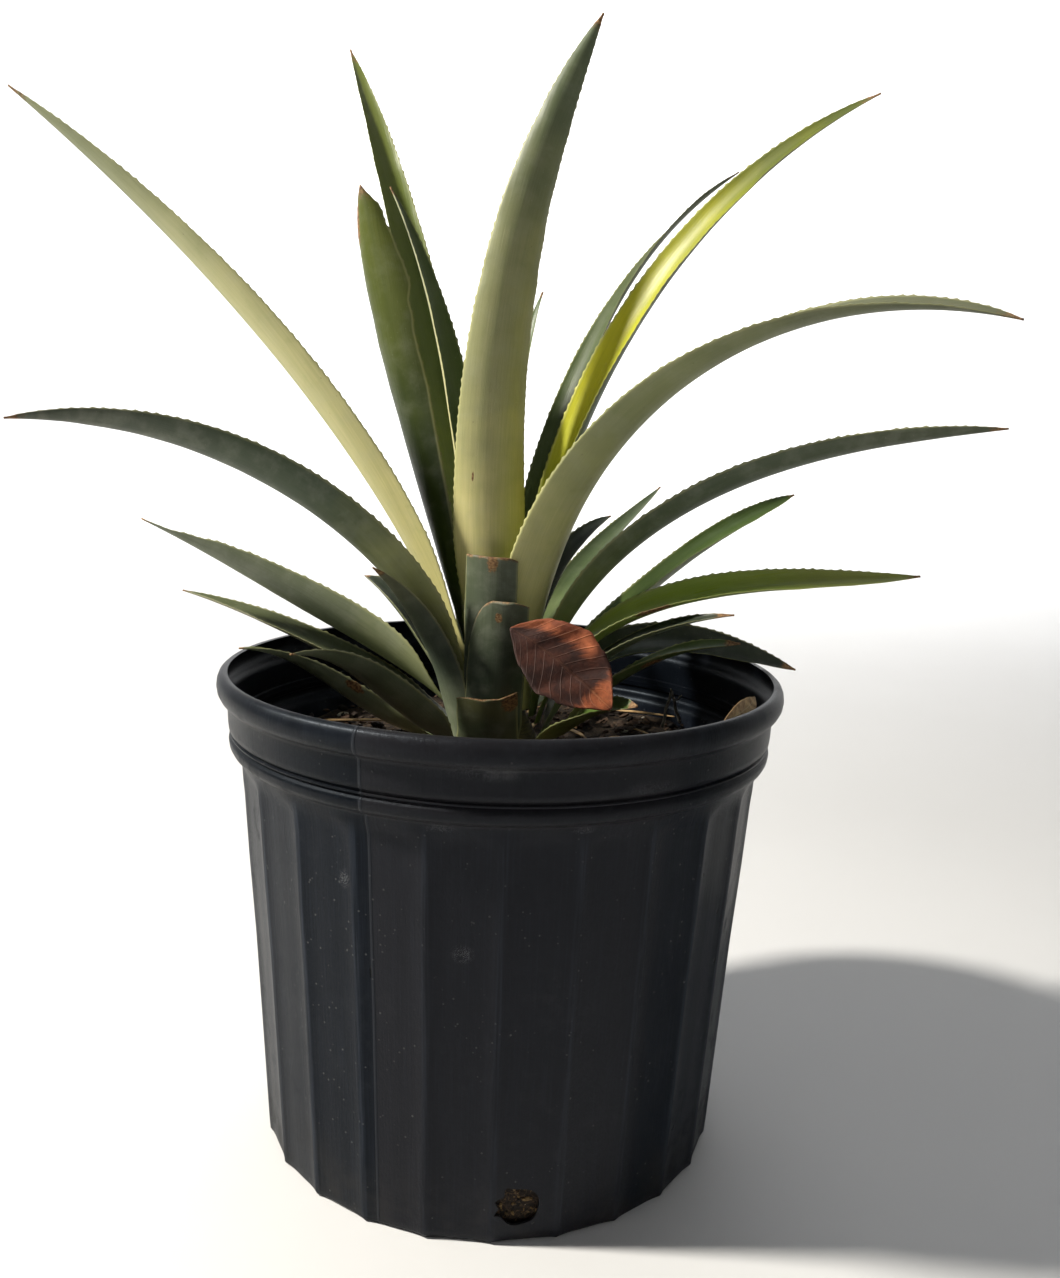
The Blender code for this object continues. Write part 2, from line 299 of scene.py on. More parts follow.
def waves(place, seed, count=5):
    """A gentle seeded wave along a line of places, from -1 to 1."""
    rng = np.random.default_rng(seed)
    total = np.zeros_like(place, dtype=float)
    for number in range(1, count + 1):
        total += np.sin(place * number * rng.uniform(0.7, 1.3) + rng.uniform(0, 6.28)) / number
    return total / 2.0


# Leaves

LEAF_COLUMNS = "name rank azimuth heading turn rise length width root_width roll channel taper hue cut"
Leaf = namedtuple("Leaf", LEAF_COLUMNS, defaults=(None,))

# rank, azimuth of the root, heading of the blade from it, turn towards the tip, rise at the root, middle
# and tip, length, width, share of the width at the root, roll at the root, middle and tip, half angle of
# the channel near the root and at the tip, taper power, colour, and for a stub how far its end is cut
# back at the middle, the left margin and the right margin
LEAF_ROWS = (
    ("heart_leaf_small", 1, 62, 0, -1, (86, 89, 55), 195, 15, 0.5, (0, 14, -1), (62, 46), 2.3, "green"),
    ("back_leaf_pale", 2, 152, 0, -1, (77, 78, 59), 250, 28, 0.3, (0, 8, -7), (62, 45), 2.4, "pale"),
    ("back_leaf_tall", 4, 128, 0, -3, (68, 67, 54), 365, 30, 0.35, (0, 3, 23), (62, 43), 2.5, "green"),
    ("right_leaf_upright", 6, -4, 0, -1, (86, 64, 27), 340, 32, 0.3, (0, -29, -40), (62, 45), 2.4, "bright"),
    ("left_leaf_blunt", 7, 160, 0, 7, (66, 75, 78), 255, 33, 0.3, (0, -51, -77), (63, 42), 8.2, "bright"),
    ("heart_leaf_tall", 8, -105, 111, 18, (94, 85, 60.5), 330, 41, 0.5, (110, 86, 113), (50, 44), 2.5, "grey"),
    ("right_leaf_serrated", 9, 58, 0, -23, (87, 60, 31), 335, 22, 0.4, (0, 8, 49), (62, 37), 2.4, "grey"),
    ("left_leaf_long", 10, -178, 0, 0, (69, 51, 38), 360, 40, 0.5, (0, -26, -26), (63, 46), 2.3, "pale"),
    ("right_leaf_young", 11, 46, 0, 1, (86, 54, 15), 120, 22, 0.3, (0, 0, -24), (62, 43), 2.5, "dark"),
    ("right_leaf_slender", 12, 58, 0, 0, (61, 27, 25), 195, 20, 0.35, (0, 1, 0), (62, 45), 2.3, "grey"),
    ("left_leaf_shaded", 12, 158, 0, 0, (64, 36, 8), 235, 24, 0.4, (0, -4, 4), (62, 45), 2.3, "grey"),
    ("right_leaf_arching", 13, -41, 0, 16, (91, 42, -13), 330, 46, 0.45, (0, -2, -23), (72, 45), 2.7, "pale"),
    ("left_leaf_arching", 15, -162, 0, 1, (69, 34, -5), 270, 36, 0.5, (0, -35, -37), (63, 47), 2.3, "grey"),
    ("right_leaf_long", 16, -16, 0, 3, (84, 31, 7), 280, 31, 0.45, (0, 18, 37), (59, 44), 2.6, "grey"),
    ("right_leaf_middle", 17, 37, 0, 0, (37, 30, 15), 225, 28, 0.3, (0, 10, -54), (62, 44), 2.5, "green"),
    ("back_leaf_short", 17, 97, 0, 0, (70, 48, 30), 130, 28, 0.4, (0, 0, 0), (60, 45), 2.2, "grey"),
    ("left_leaf_bent", 18.5, 142, 0, 0, (38, 44, 16), 100, 25, 0.4, (0, 0, 0), (60, 50), 6.0, "dark"),
    ("left_leaf_torn", 19, 174, 0, 3, (41, 28, 25), 190, 36, 0.3, (0, -52, -16), (63, 48), 2.0, "grey"),
    ("right_leaf_glossy", 19, -16, 0, 0, (77, 18, 10), 210, 28, 0.4, (0, -24, -41), (62, 44), 2.3, "bright"),
    ("back_leaf_low", 21, 106, 0, 0, (50, 36, 15), 120, 28, 0.4, (0, 0, 0), (60, 45), 2.2, "dark"),
    ("right_leaf_drooping", 23, 9, 0, -1, (81, 4, -15), 155, 26, 0.3, (0, -35, -43), (62, 43), 3.1, "dark"),
    ("left_leaf_olive", 23, 170, 0, -1, (28, 23, 13), 160, 24, 0.5, (0, 12, 0), (62, 46), 2.4, "pale"),
    ("right_leaf_dark", 23, -22, 0, 0, (66, 36, 10), 120, 20, 0.4, (0, -10, -20), (60, 45), 2.2, "dark"),
    ("front_leaf_short", 26, -150, 0, 12, (80, 62, 38), 104, 25, 0.2, (0, -8, -8), (58, 45), 3.0, "dark"),
    ("front_leaf_low", 26, -44, 0, -1, (22, 34, 4), 70, 24, 0.6, (0, -13, -47), (63, 45), 2.5, "green"),
    ("front_leaf_dark", 27, -141, 0, -1, (21, 40, 1), 110, 30, 0.28, (0, -24, -19), (62, 46), 2.3, "dark"),
    ("right_leaf_low", 27, -10, 0, -1, (50, 34, 3), 110, 22, 0.45, (0, 5, -39), (62, 42), 2.4, "green"),
    ("left_leaf_low", 27, -170, 0, 0, (-1, 36, 1), 115, 26, 0.45, (0, -31, 1), (63, 45), 2.3, "grey"),
    ("upper_stub", 27.7, -106, 0, 0, (88, 88, 88), 101, 29, 0.55, (0, 0, 0), (46, 46), 40.0, "grey", (5, 5, 7)),
    ("lower_stub", 34.2, -101, 60, 0, (87, 87, 87),
     79, 32.5, 0.8, (60, 60, 60), (52, 52), 40.0, "grey", (1.5, 26, 4)),
    ("base_stub", 36, -101, 0, 0, (62, 72, 75), 37, 34, 0.85, (0, 0, 0), (50, 50), 40.0, "pale", (3, 7, 1)),
)
LEAVES = [Leaf(*row) for row in LEAF_ROWS]

SOIL_TOP = 195.0
ROOT_LIFT = 6.0
STEM_TOP = 236.0
STEM_TOP_RADIUS = 3.2
RANK_STEP = 0.8
RANK_DROP = 1.2
ROOT_GAP = 1.4
LEAF_THICKNESS = 1.2
TIP_WIDTH = 1.2
WRAP_LENGTH = 0.35
STEEPEST_WRAP = 80.0
LOOSEST_WRAP = 32.0
TOOTH_PITCH = 4.2
TOOTH_HEIGHT = 0.75
TOOTH_ROWS = (0.0, 0.3, 1.0)
COLUMN_SPREAD = 0.86
WAVY_MARGIN = {"left_leaf_blunt": 2.6, "left_leaf_torn": 1.2, "left_leaf_bent": 1.0}
COLUMNS = 19


def leaf_root(leaf):
    radius = STEM_TOP_RADIUS + ROOT_GAP + leaf.rank * RANK_STEP
    turn = math.radians(leaf.azimuth)
    height = max(SOIL_TOP + ROOT_LIFT, STEM_TOP - leaf.rank * RANK_DROP)
    return np.array((radius * math.cos(turn), radius * math.sin(turn), height))


def middle_line(start, heading, turn, rise, length, shares):
    """Points along the middle of a blade, its directions and its level sideways directions."""
    steps = 800

    def directions(share):
        up = np.radians(through_three(rise, share))
        way = np.radians(heading + turn * share)
        along = np.stack((np.cos(up) * np.cos(way), np.cos(up) * np.sin(way), np.sin(up)), -1)
        side = np.stack((np.sin(way), -np.cos(way), np.zeros_like(way)), -1)
        return along, side

    middles = (np.arange(steps) + 0.5) / steps
    walked = np.vstack((np.zeros(3), np.cumsum(directions(middles)[0] * length / steps, axis=0)))
    places = np.arange(steps + 1) / steps
    points = np.stack([np.interp(shares, places, walked[:, axis]) for axis in range(3)], -1) + start
    along, side = directions(shares)
    return points, along, side


def sheet_points(points, along, side, half, bend, roll, across):
    """Arc sections across a blade: the points, the way out of the inner face, and the way to the margin."""
    upper = np.cross(side, along)
    cos_roll = np.cos(roll)[..., None]
    sin_roll = np.sin(roll)[..., None]
    over = side * cos_roll + upper * sin_roll
    inner = upper * cos_roll - side * sin_roll
    turn = (across * half / bend)[..., None]
    bend = bend[..., None]
    found = points + over * bend * np.sin(turn) + inner * bend * (1 - np.cos(turn))
    out = inner * np.cos(turn) - over * np.sin(turn)
    edge = over * np.cos(turn) + inner * np.sin(turn)
    return found, out, edge


def leaf_widths(leaf, share):
    """Half the blade's width along it."""
    taper = (1.0 - np.clip(share, 0, 1) ** leaf.taper) ** 0.8
    if leaf.cut:
        taper = np.ones_like(share)
    opening = mix(leaf.root_width, 1.0, smooth(share / 0.25))
    return np.maximum(TIP_WIDTH, leaf.width * taper * opening) / 2


def leaf_shape(leaf, points, share, half):
    """The leaf wraps the stem at its root and opens into its own channel farther out."""
    hug = np.maximum(np.hypot(points[..., 0], points[..., 1]), half / math.radians(STEEPEST_WRAP))
    hug = np.minimum(LOOSEST_WRAP, hug)
    channel = half / np.radians(mix(leaf.channel[0], leaf.channel[1], share))
    bend = np.where(hug > channel, mix(hug, channel, smooth(share / WRAP_LENGTH)), channel)
    return bend, np.radians(through_three(leaf.roll, share))


def cut_back(leaf, across, seed):
    """How far the ragged end of a cut leaf falls short across it."""
    middle, left, right = leaf.cut
    side = np.where(across > 0, left, right)
    torn = 0.5 * waves(across * 9.0, seed) * (1 - across**2)
    return middle * (1 - across**2) + side * np.abs(across) ** 2.5 + torn


def ripples(leaf, share, across, tip_room, seed):
    """How far the margins lift out of the blade's curve."""
    loose = smooth((share - 0.3) / 0.3)
    along = share * leaf.length
    ripple = waves(along / 16.0, seed) * 0.5 + waves(along / 5.0, seed + 50) * 0.12
    return loose * tip_room * np.abs(across) ** 3 * ripple * np.where(across > 0, 1.0, -0.8)


def wavy_margin(leaf, share, across, seed):
    """How far the left margin wanders in and out towards the tip."""
    wander = waves(share * leaf.length / 13.0, seed + 7)
    sway = smooth((share - 0.55) / 0.2) * np.clip(across, -1.0, 0.0) * wander
    return sway * WAVY_MARGIN.get(leaf.name, 0.0)


def teeth(share, across, tip_room, seed):
    """How far each point of the margins stands out as a hooked tooth."""
    rows = len(share)
    pitch = len(TOOTH_ROWS)
    tooth = np.array(TOOTH_ROWS)[np.arange(rows) % pitch][:, None] * np.ones_like(across)
    rng = np.random.default_rng(seed)
    sizes = np.repeat(rng.uniform(0.3, 1.0, (rows - 1) // pitch + 1), pitch)[:rows][:, None]
    grow = smooth((share - 0.08) / 0.12) * tip_room * (np.abs(across) > 0.999)
    return np.sign(across) * tooth * sizes * grow * TOOTH_HEIGHT


def both_faces(found, out, thick):
    """A closed loop of points round each row: over the inner face and back over the outer one."""
    inner = found + out * thick[..., None]
    outer = found - out * thick[..., None]
    return np.concatenate((inner, outer[:, ::-1]), axis=1)


def there_and_back(item):
    """The values of a row's columns for both of its faces."""
    return np.concatenate((item, item[:, ::-1]), axis=1).ravel()


def add_leaf_maps(mesh, share, across, half, length):
    """One map in centimetres of the blade and one in shares of it."""
    strip = np.stack((there_and_back(half * across), there_and_back(share * length)), -1)
    add_map(mesh, "strip", strip / 10.0)
    add_map(mesh, "where", np.stack((there_and_back(across), there_and_back(share)), -1))


def leaf_mesh(leaf, look, seed):
    """One closed blade: thick along its middle, thin at its toothed margins."""
    rows = max(36, int(round(leaf.length / TOOTH_PITCH)) * len(TOOTH_ROWS))
    share_row = np.arange(rows + 1) / rows
    spread = math.pi / 2 * COLUMN_SPREAD
    column = np.sin(np.linspace(-1, 1, COLUMNS) * math.pi / 2 * COLUMN_SPREAD) / math.sin(spread)
    share, across = np.meshgrid(share_row, column, indexing="ij")
    heading = leaf.azimuth + leaf.heading
    line = middle_line(leaf_root(leaf), heading, leaf.turn, leaf.rise, leaf.length, share.ravel())
    points, along, side = (item.reshape(share.shape + (3,)) for item in line)
    half = leaf_widths(leaf, share)
    bend, roll = leaf_shape(leaf, points, share, half)
    found, out, edge = sheet_points(points, along, side, half, bend, roll, across)
    tip_room = np.clip(half / 6.0, 0, 1)
    if leaf.cut:
        found = found - along * (cut_back(leaf, across, seed) * share**3)[..., None]
    found = found + out * ripples(leaf, share, across, tip_room, seed)[..., None]
    found = found + edge * wavy_margin(leaf, share, across, seed)[..., None]
    if not leaf.cut:
        found = found + edge * teeth(share, across, tip_room, seed)[..., None]
    thick = LEAF_THICKNESS / 2 * (1 - 0.78 * np.abs(across) ** 2.2) * mix(1.0, 0.72, share)
    loop = both_faces(found, out, thick)
    faces = ring_faces(rows + 1, loop.shape[1])
    name = leaf.name + "_blade"
    piece = mesh_piece(name, loop.reshape(-1, 3), faces, look, "leaf_" + leaf.hue, [leaf.name])
    add_leaf_maps(piece.data, share, across, half, leaf.length)
    face = np.concatenate((np.ones_like(across), np.zeros_like(across)), axis=1).ravel()
    add_amount(piece.data, "inner", face)


# Colours of a leaf's outer and inner face at its root, middle and tip, its roughness, and how much
# powder it has
Palette = namedtuple("Palette", "outer inner roughness powder")
PALETTES = {
    "grey": Palette(
        ((154, 158, 116), (108, 115, 90), (94, 101, 78)),
        ((100, 114, 62), (66, 80, 44), (58, 70, 40)),
        0.5, 0.3,
    ),
    "green": Palette(
        ((148, 156, 92), (84, 98, 50), (78, 92, 50)),
        ((108, 130, 52), (72, 92, 34), (66, 84, 36)),
        0.42, 0.12,
    ),
    "bright": Palette(
        ((118, 130, 66), (98, 112, 52), (92, 104, 58)),
        ((150, 162, 62), (122, 138, 46), (104, 116, 50)),
        0.34, 0.05,
    ),
    "pale": Palette(
        ((222, 212, 146), (200, 194, 138), (146, 150, 114)),
        ((146, 156, 82), (92, 108, 54), (76, 90, 48)),
        0.46, 0.2,
    ),
    # Painted light: outer faces made paler to stand in for light on leaves that lie in shade.
    "dark": Palette(
        ((120, 126, 98), (98, 106, 80), (88, 96, 74)),
        ((58, 70, 42), (40, 50, 32), (38, 46, 30)),
        0.44, 0.25,
    ),
}
# Painted shade: the upper and lower stubs are coloured darker to stand in for the shade they lie in.
SHADED_STUB_PALETTE = Palette(
    ((68, 75, 58), (62, 71, 56), (80, 87, 68)),
    ((90, 104, 62), (84, 96, 60), (90, 100, 66)),
    0.5, 0.3,
)
OWN_PALETTES = {
    # Painted shade: this leaf is coloured darker than the other grey leaves.
    "right_leaf_long": Palette(
        ((112, 122, 76), (72, 83, 60), (76, 82, 62)),
        ((84, 98, 50), (56, 68, 40), (60, 68, 44)),
        0.48, 0.25,
    ),
    # Painted shade on the darker middle and tip; the pale root is partly the leaf's own pale base, partly
    # painted light.
    "left_leaf_arching": Palette(
        ((182, 184, 120), (72, 84, 62), (62, 68, 54)),
        ((84, 96, 54), (52, 62, 40), (50, 58, 42)),
        0.5, 0.3,
    ),
    # Painted light: coloured paler and brighter, standing in for light on a leaf that lies in shade.
    "back_leaf_tall": Palette(
        ((212, 208, 134), (168, 174, 90), (156, 162, 86)),
        ((140, 152, 62), (104, 118, 48), (106, 114, 52)),
        0.4, 0.15,
    ),
    "right_leaf_serrated": Palette(
        ((92, 104, 56), (70, 82, 46), (96, 100, 78)),
        ((88, 104, 42), (66, 80, 36), (84, 90, 60)),
        0.45, 0.2,
    ),
    "upper_stub": SHADED_STUB_PALETTE,
    "lower_stub": SHADED_STUB_PALETTE,
    "base_stub": Palette(
        ((78, 84, 58), (72, 80, 58), (100, 100, 68)),
        ((98, 106, 62), (90, 98, 58), (110, 110, 70)),
        0.5, 0.3,
    ),
    # Painted light on the bright yellow middle of the inner face; painted shade on the darker outer face.
    "right_leaf_upright": Palette(
        ((80, 94, 44), (80, 92, 50), (70, 78, 52)),
        ((140, 148, 34), (186, 182, 28), (88, 96, 42)),
        0.4, 0.05,
    ),
    # Painted light: both faces made paler, standing in for light on a leaf that lies in shade.
    "right_leaf_glossy": Palette(
        ((146, 160, 84), (130, 150, 64), (140, 146, 84)),
        ((160, 174, 88), (138, 160, 58), (146, 152, 80)),
        0.3, 0.04,
    ),
    "heart_leaf_tall": Palette(
        ((222, 210, 144), (152, 150, 106), (84, 94, 68)),
        ((190, 190, 112), (112, 122, 74), (76, 88, 54)),
        0.46, 0.2,
    ),
    # Painted shade: both faces coloured dark, standing in for the shade over the leaf.
    "left_leaf_blunt": Palette(
        ((50, 63, 19), (42, 53, 18), (86, 93, 32)),
        ((56, 70, 20), (64, 78, 28), (108, 116, 40)),
        0.38, 0.15,
    ),
    "right_leaf_arching": Palette(
        ((214, 208, 142), (140, 143, 100), (98, 101, 80)),
        ((124, 134, 70), (84, 94, 62), (96, 98, 74)),
        0.46, 0.25,
    ),
    "left_leaf_olive": Palette(
        ((150, 150, 112), (138, 138, 112), (130, 128, 100)),
        ((60, 68, 44), (76, 84, 54), (84, 90, 58)),
        0.48, 0.3,
    ),
    # Painted shade: the inner face is near black at its root and middle.
    "front_leaf_short": Palette(
        ((104, 110, 90), (84, 94, 82), (96, 98, 76)),
        ((30, 38, 36), (34, 40, 38), (92, 90, 56)),
        0.42, 0.3,
    ),
}

# Share of the length where a dry tip begins
DRY_TIPS = {
    "left_leaf_blunt": 0.985,
    "right_leaf_drooping": 0.95,
    "right_leaf_low": 0.94,
    "front_leaf_short": 0.955,
    "front_leaf_low": 0.94,
    "right_leaf_dark": 0.93,
    "upper_stub": 0.997,
    "lower_stub": 0.998,
    "base_stub": 0.99,
}
# Share along, share across, reach along, reach across
SORES = {
    "left_leaf_torn": ((0.62, 0.85, 0.09, 0.3),),
    "right_leaf_glossy": ((0.42, 0.9, 0.05, 0.22),),
    "lower_stub": ((0.9, -0.05, 0.035, 0.12),),
    "upper_stub": ((0.98, -0.15, 0.07, 0.2),),
    "base_stub": ((0.9, -0.8, 0.18, 0.35),),
    "right_leaf_low": ((0.6, 0.6, 0.06, 0.25),),
    "left_leaf_low": ((0.5, -0.8, 0.05, 0.25),),
    "heart_leaf_tall": ((0.33, 0.5, 0.008, 0.03),),
    "left_leaf_blunt": ((0.94, 0.85, 0.05, 0.25),),
}


def leaf_finish(leaf, seed):
    """Two-sided waxy leaf: veins, painted shade along a fold and over the half of the blade beyond it, powder,
    specks, a pale margin, a dry tip and sores.
    """
    palette = OWN_PALETTES.get(leaf.name, PALETTES[leaf.hue])
    made = Finish("leaf_" + leaf.hue + "_" + leaf.name)
    strip = made.map_named("strip")
    where = made.map_named("where")
    across, share, _ = made.parts(where)
    inner = made.amount_named("inner")
    shift = made.moved(strip, (seed * 3.7, seed * 1.9, 0.0))
    cloud = made.grain(shift, 0.35, 3.0)
    uneven = share + (cloud - 0.5) * 0.25
    faces = []
    for face in (palette.outer, palette.inner):
        root, middle, tip = (tone(*seen) for seen in face)
        lower = made.blend(made.ease(uneven, 0.12, 0.5), root, middle)
        faces.append(made.blend(made.ease(uneven, 0.45, 0.95), lower, tip))
    colour = made.blend(inner, faces[0], faces[1])
    veins = made.grain(made.stretched(shift, (26.0, 0.35, 1.0)), 1.0, 2.0)
    broad = made.grain(made.stretched(shift, (6.0, 0.25, 1.0)), 1.0, 2.0)
    streak = made.ease(veins * 0.6 + broad * 0.4, 0.35, 0.65)
    darker = made.blend(0.75, colour, made.times(colour, (0.5, 0.62, 0.4)))
    colour = made.blend(streak * 0.35, colour, darker)
    # Painted shade: a darker line along the fold of the channel and a darker half of the blade beyond it.
    crease_place = math.sin(seed * 2.4) * 0.35
    wander = across + (cloud - 0.5) * 0.3 - crease_place
    crease_shade = made.fade(abs(wander), 0.02, 0.16) * made.ease(share, 0.05, 0.3)
    far_half_shade = made.ease(wander, -0.05, 0.35) * made.ease(share, 0.1, 0.5)
    colour = made.blend(crease_shade * 0.3 + far_half_shade * 0.25, colour, darker)
    bands = made.grain(made.stretched(shift, (0.7, 0.8, 1.0)), 1.0, 4.0, 0.62)
    powder = made.ease(bands, 0.42, 0.7) * palette.powder * (1.0 - inner * 0.6)
    colour = made.blend(powder * 0.5, colour, tone(172, 174, 156))
    blotch = made.ease(made.grain(shift, 1.4, 4.0, 0.6, 0.4), 0.55, 0.75)
    colour = made.blend(blotch * 0.22, colour, darker)
    dust = made.flecks(shift, 5.0)
    fine_dust = made.fade(dust, 0.03, 0.07) * made.ease(cloud, 0.4, 0.6)
    colour = made.blend(fine_dust * 0.6, colour, tone(205, 205, 188))
    spots = made.fade(made.flecks(made.stretched(shift, (1.0, 0.7, 1.0)), 1.7), 0.025, 0.06)
    colour = made.blend(spots * 0.45, colour, tone(84, 72, 44))
    margin = made.ease(abs(across), 0.9, 0.98)
    colour = made.blend(margin * 0.4, colour, tone(172, 170, 118))
    tip_from = DRY_TIPS.get(leaf.name, 0.982)
    ragged = share + (made.grain(shift, 3.0, 3.0) - 0.5) * 0.06
    dry = made.ease(ragged, tip_from - 0.015, tip_from + 0.01)
    for place_along, place_across, reach_along, reach_across in SORES.get(leaf.name, ()):
        sideways = (across - place_across) / reach_across
        lengthways = (share - place_along) / reach_along
        size = made.length(made.vector(sideways, lengthways, 0.0))
        frayed = size + (made.grain(shift, 6.0, 3.0) - 0.5) * 0.9
        dry = dry.math("MAXIMUM", made.fade(frayed, 0.7, 1.0))
    crust = made.ease(made.grain(shift, 8.0, 3.0), 0.35, 0.7)
    dead = made.blend(crust, tone(92, 62, 38), tone(150, 118, 76))
    colour = made.blend(dry, colour, dead)
    rough = palette.roughness + (streak - 0.5) * 0.08 + powder * 0.12 + dry * 0.3 + (cloud - 0.5) * 0.12
    ribs = made.relief(veins + broad * 0.6, 0.22, 0.0006)
    bumps = made.relief(made.grain(shift, 14.0, 3.0) + blotch * 0.4 - dry * 0.6, 0.16, 0.0004, ribs)
    return made.surface(Base_Color=colour, Roughness=rough, Normal=bumps, Specular_IOR_Level=0.45)


for number, leaf in enumerate(LEAVES):
    leaf_mesh(leaf, leaf_finish(leaf, number + 1), number + 1)


# Pot

POT_WALL = 1.5
FLUTES = 24
FLUTE_DEPTH = 1.8
FLUTE_PHASE = 1.5
FLUTE_SAMPLES = 14
FLUTE_TOPS = (183.0, 200.0)
FLUTE_ARCH = 3.5
FLUTE_END = 195.5
FLUTE_FADE = 7.0
LIP_INSIDE = (134.7, 239.7, 0.0)
DRAINS = 4
DRAIN_RADIUS = 9.5
DRAIN_HEIGHT = 18.0
DRAIN_REACH = 115
DRAIN_PHASE = 7.5
PARTING_LINE = -115.0
MM_PER_DEGREE = 2.25

# Outer skin from the middle of the base up to the lip: radius, height, share of the flute depth
POT_PROFILE = (
    (0.0, 0.0, 0.0), (30.0, 0.0, 0.0), (60.0, 0.0, 0.0), (90.0, 0.0, 0.2),
    (108.0, 0.0, 0.8), (114.4, 0.0, 1.0), (115.1, 0.4, 1.0), (115.8, 1.6, 1.0),
    (116.1, 5.0, 1.0), (116.4, 9.0, 1.0), (119.4, 60.0, 1.0), (122.4, 110.0, 1.0),
    (125.4, 150.0, 1.0), (127.4, 182.0, 1.0), (128.0, 188.0, 0.98), (128.2, 191.0, 0.85),
    (128.4, 194.0, 0.55), (128.6, 197.0, 0.2), (128.9, 199.5, 0.0), (129.6, 201.0, 0.0),
    (131.4, 201.8, 0.0), (133.1, 203.0, 0.0), (134.0, 204.8, 0.0), (134.3, 207.0, 0.0),
    (134.0, 208.6, 0.0), (132.7, 209.4, 0.0), (132.6, 210.0, 0.0), (133.8, 210.6, 0.0),
    (133.9, 211.2, 0.0), (132.9, 211.8, 0.0), (133.0, 212.5, 0.0), (134.3, 213.4, 0.0),
    (134.6, 216.0, 0.0), (134.8, 221.0, 0.0), (135.0, 225.0, 0.0), (135.3, 226.4, 0.0),
    (136.6, 227.4, 0.0), (138.4, 228.8, 0.0), (139.5, 231.0, 0.0), (139.9, 233.6, 0.0),
    (139.6, 236.2, 0.0), (138.7, 238.4, 0.0), (137.4, 239.6, 0.0), (136.2, 240.0, 0.0),
)


def pot_rows():
    """The outer skin sampled finely, then the same line set inwards by the wall, from the lip down."""
    outer = []
    for first, second in zip(POT_PROFILE, POT_PROFILE[1:]):
        parts = max(1, int(math.dist(first[:2], second[:2]) / 6.0))
        outer += [tuple(mix(np.array(first), np.array(second), k / parts)) for k in range(parts)]
    outer.append(POT_PROFILE[-1])
    outer = np.array(outer)
    slope = np.gradient(outer[:, :2], axis=0)
    slope /= np.linalg.norm(slope, axis=1)[:, None]
    inner = outer.copy()
    inner[:, 0] -= slope[:, 1] * POT_WALL
    inner[:, 1] += slope[:, 0] * POT_WALL
    inner[-1] = LIP_INSIDE
    inner[:, 0] = np.maximum(inner[:, 0], 0.0)
    inner[inner[:, 1] < POT_WALL, 1] = POT_WALL
    return outer, inner[::-1]


def flute_depth(turn):
    """A shallow hollow between two narrow rounded ridges; turn is degrees from the front ridge."""
    part = np.mod(turn / (360.0 / FLUTES), 1.0)
    return FLUTE_DEPTH * (1 - np.abs(2 * part - 1) ** 3.2)


def ragged_drain(number):
    """A cutter for one drain hole, with an uneven outline; the front hole is torn along its foot."""
    azimuth = math.radians(-90 + DRAIN_PHASE + number * 90)
    rng = np.random.default_rng(70 + number)
    bm = bmesh.new()
    bmesh.ops.create_cone(bm, cap_ends=True, segments=40, radius1=1.0, radius2=1.0, depth=26.0)
    swell = rng.uniform(-0.5, 0.5, 6)
    for vert in bm.verts:
        way = math.atan2(vert.co.y, vert.co.x)
        size = DRAIN_RADIUS + sum(swell[k] * math.sin((k + 2) * way + k) * 0.55 for k in range(6))
        if number == 0 and -2.9 < way < -1.2:
            size += 1.4 * math.sin(way * 9) + 0.7
        vert.co.x *= size
        vert.co.y *= size
    place = (
        Matrix.Translation((DRAIN_REACH * math.cos(azimuth), DRAIN_REACH * math.sin(azimuth), DRAIN_HEIGHT))
        @ Matrix.Rotation(azimuth, 4, "Z")
        @ Matrix.Rotation(math.radians(90), 4, "Y")
    )
    bmesh.ops.transform(bm, matrix=Matrix.Scale(MM, 4) @ place, verts=bm.verts)
    mesh = bpy.data.meshes.new("drain")
    bm.to_mesh(mesh)
    bm.free()
    cutter = bpy.data.objects.new("drain_cutter", mesh)
    bpy.context.scene.collection.objects.link(cutter)
    return cutter


# Degrees round the pot, height, half width and half height
SCUFFS = (
    (-96, 142, 6, 5), (-121, 168, 4, 5), (-28, 140, 3, 40), (-26, 60, 3, 40), (-92, 226, 22, 5),
    (-62, 216, 14, 4), (-100, 199, 8, 2.5), (-74, 199, 6, 2.5), (150, 120, 8, 14), (60, 90, 8, 16),
)
NICKS = (
    (-115.4, 127, 0.7, 3.2), (-42, 165, 1.2, 1.2), (-32, 140, 1.3, 1.3), (-30, 113, 1.2, 1.2),
    (-41, 35, 1.6, 1.6), (100, 80, 1.3, 1.3),
)


def pot_marks(made, turn, height, marks, solid, soft):
    """A mask of oval marks, full out to one share of their size and gone at another."""
    mask = None
    for mark_turn, mark_height, wide, high in marks:
        sideways = (turn - mark_turn) * (MM_PER_DEGREE / wide)
        size = made.length(made.vector(sideways, (height - mark_height) / high, 0.0))
        here = made.fade(size, solid, soft)
        mask = here if mask is None else mask.math("MAXIMUM", here)
    return mask


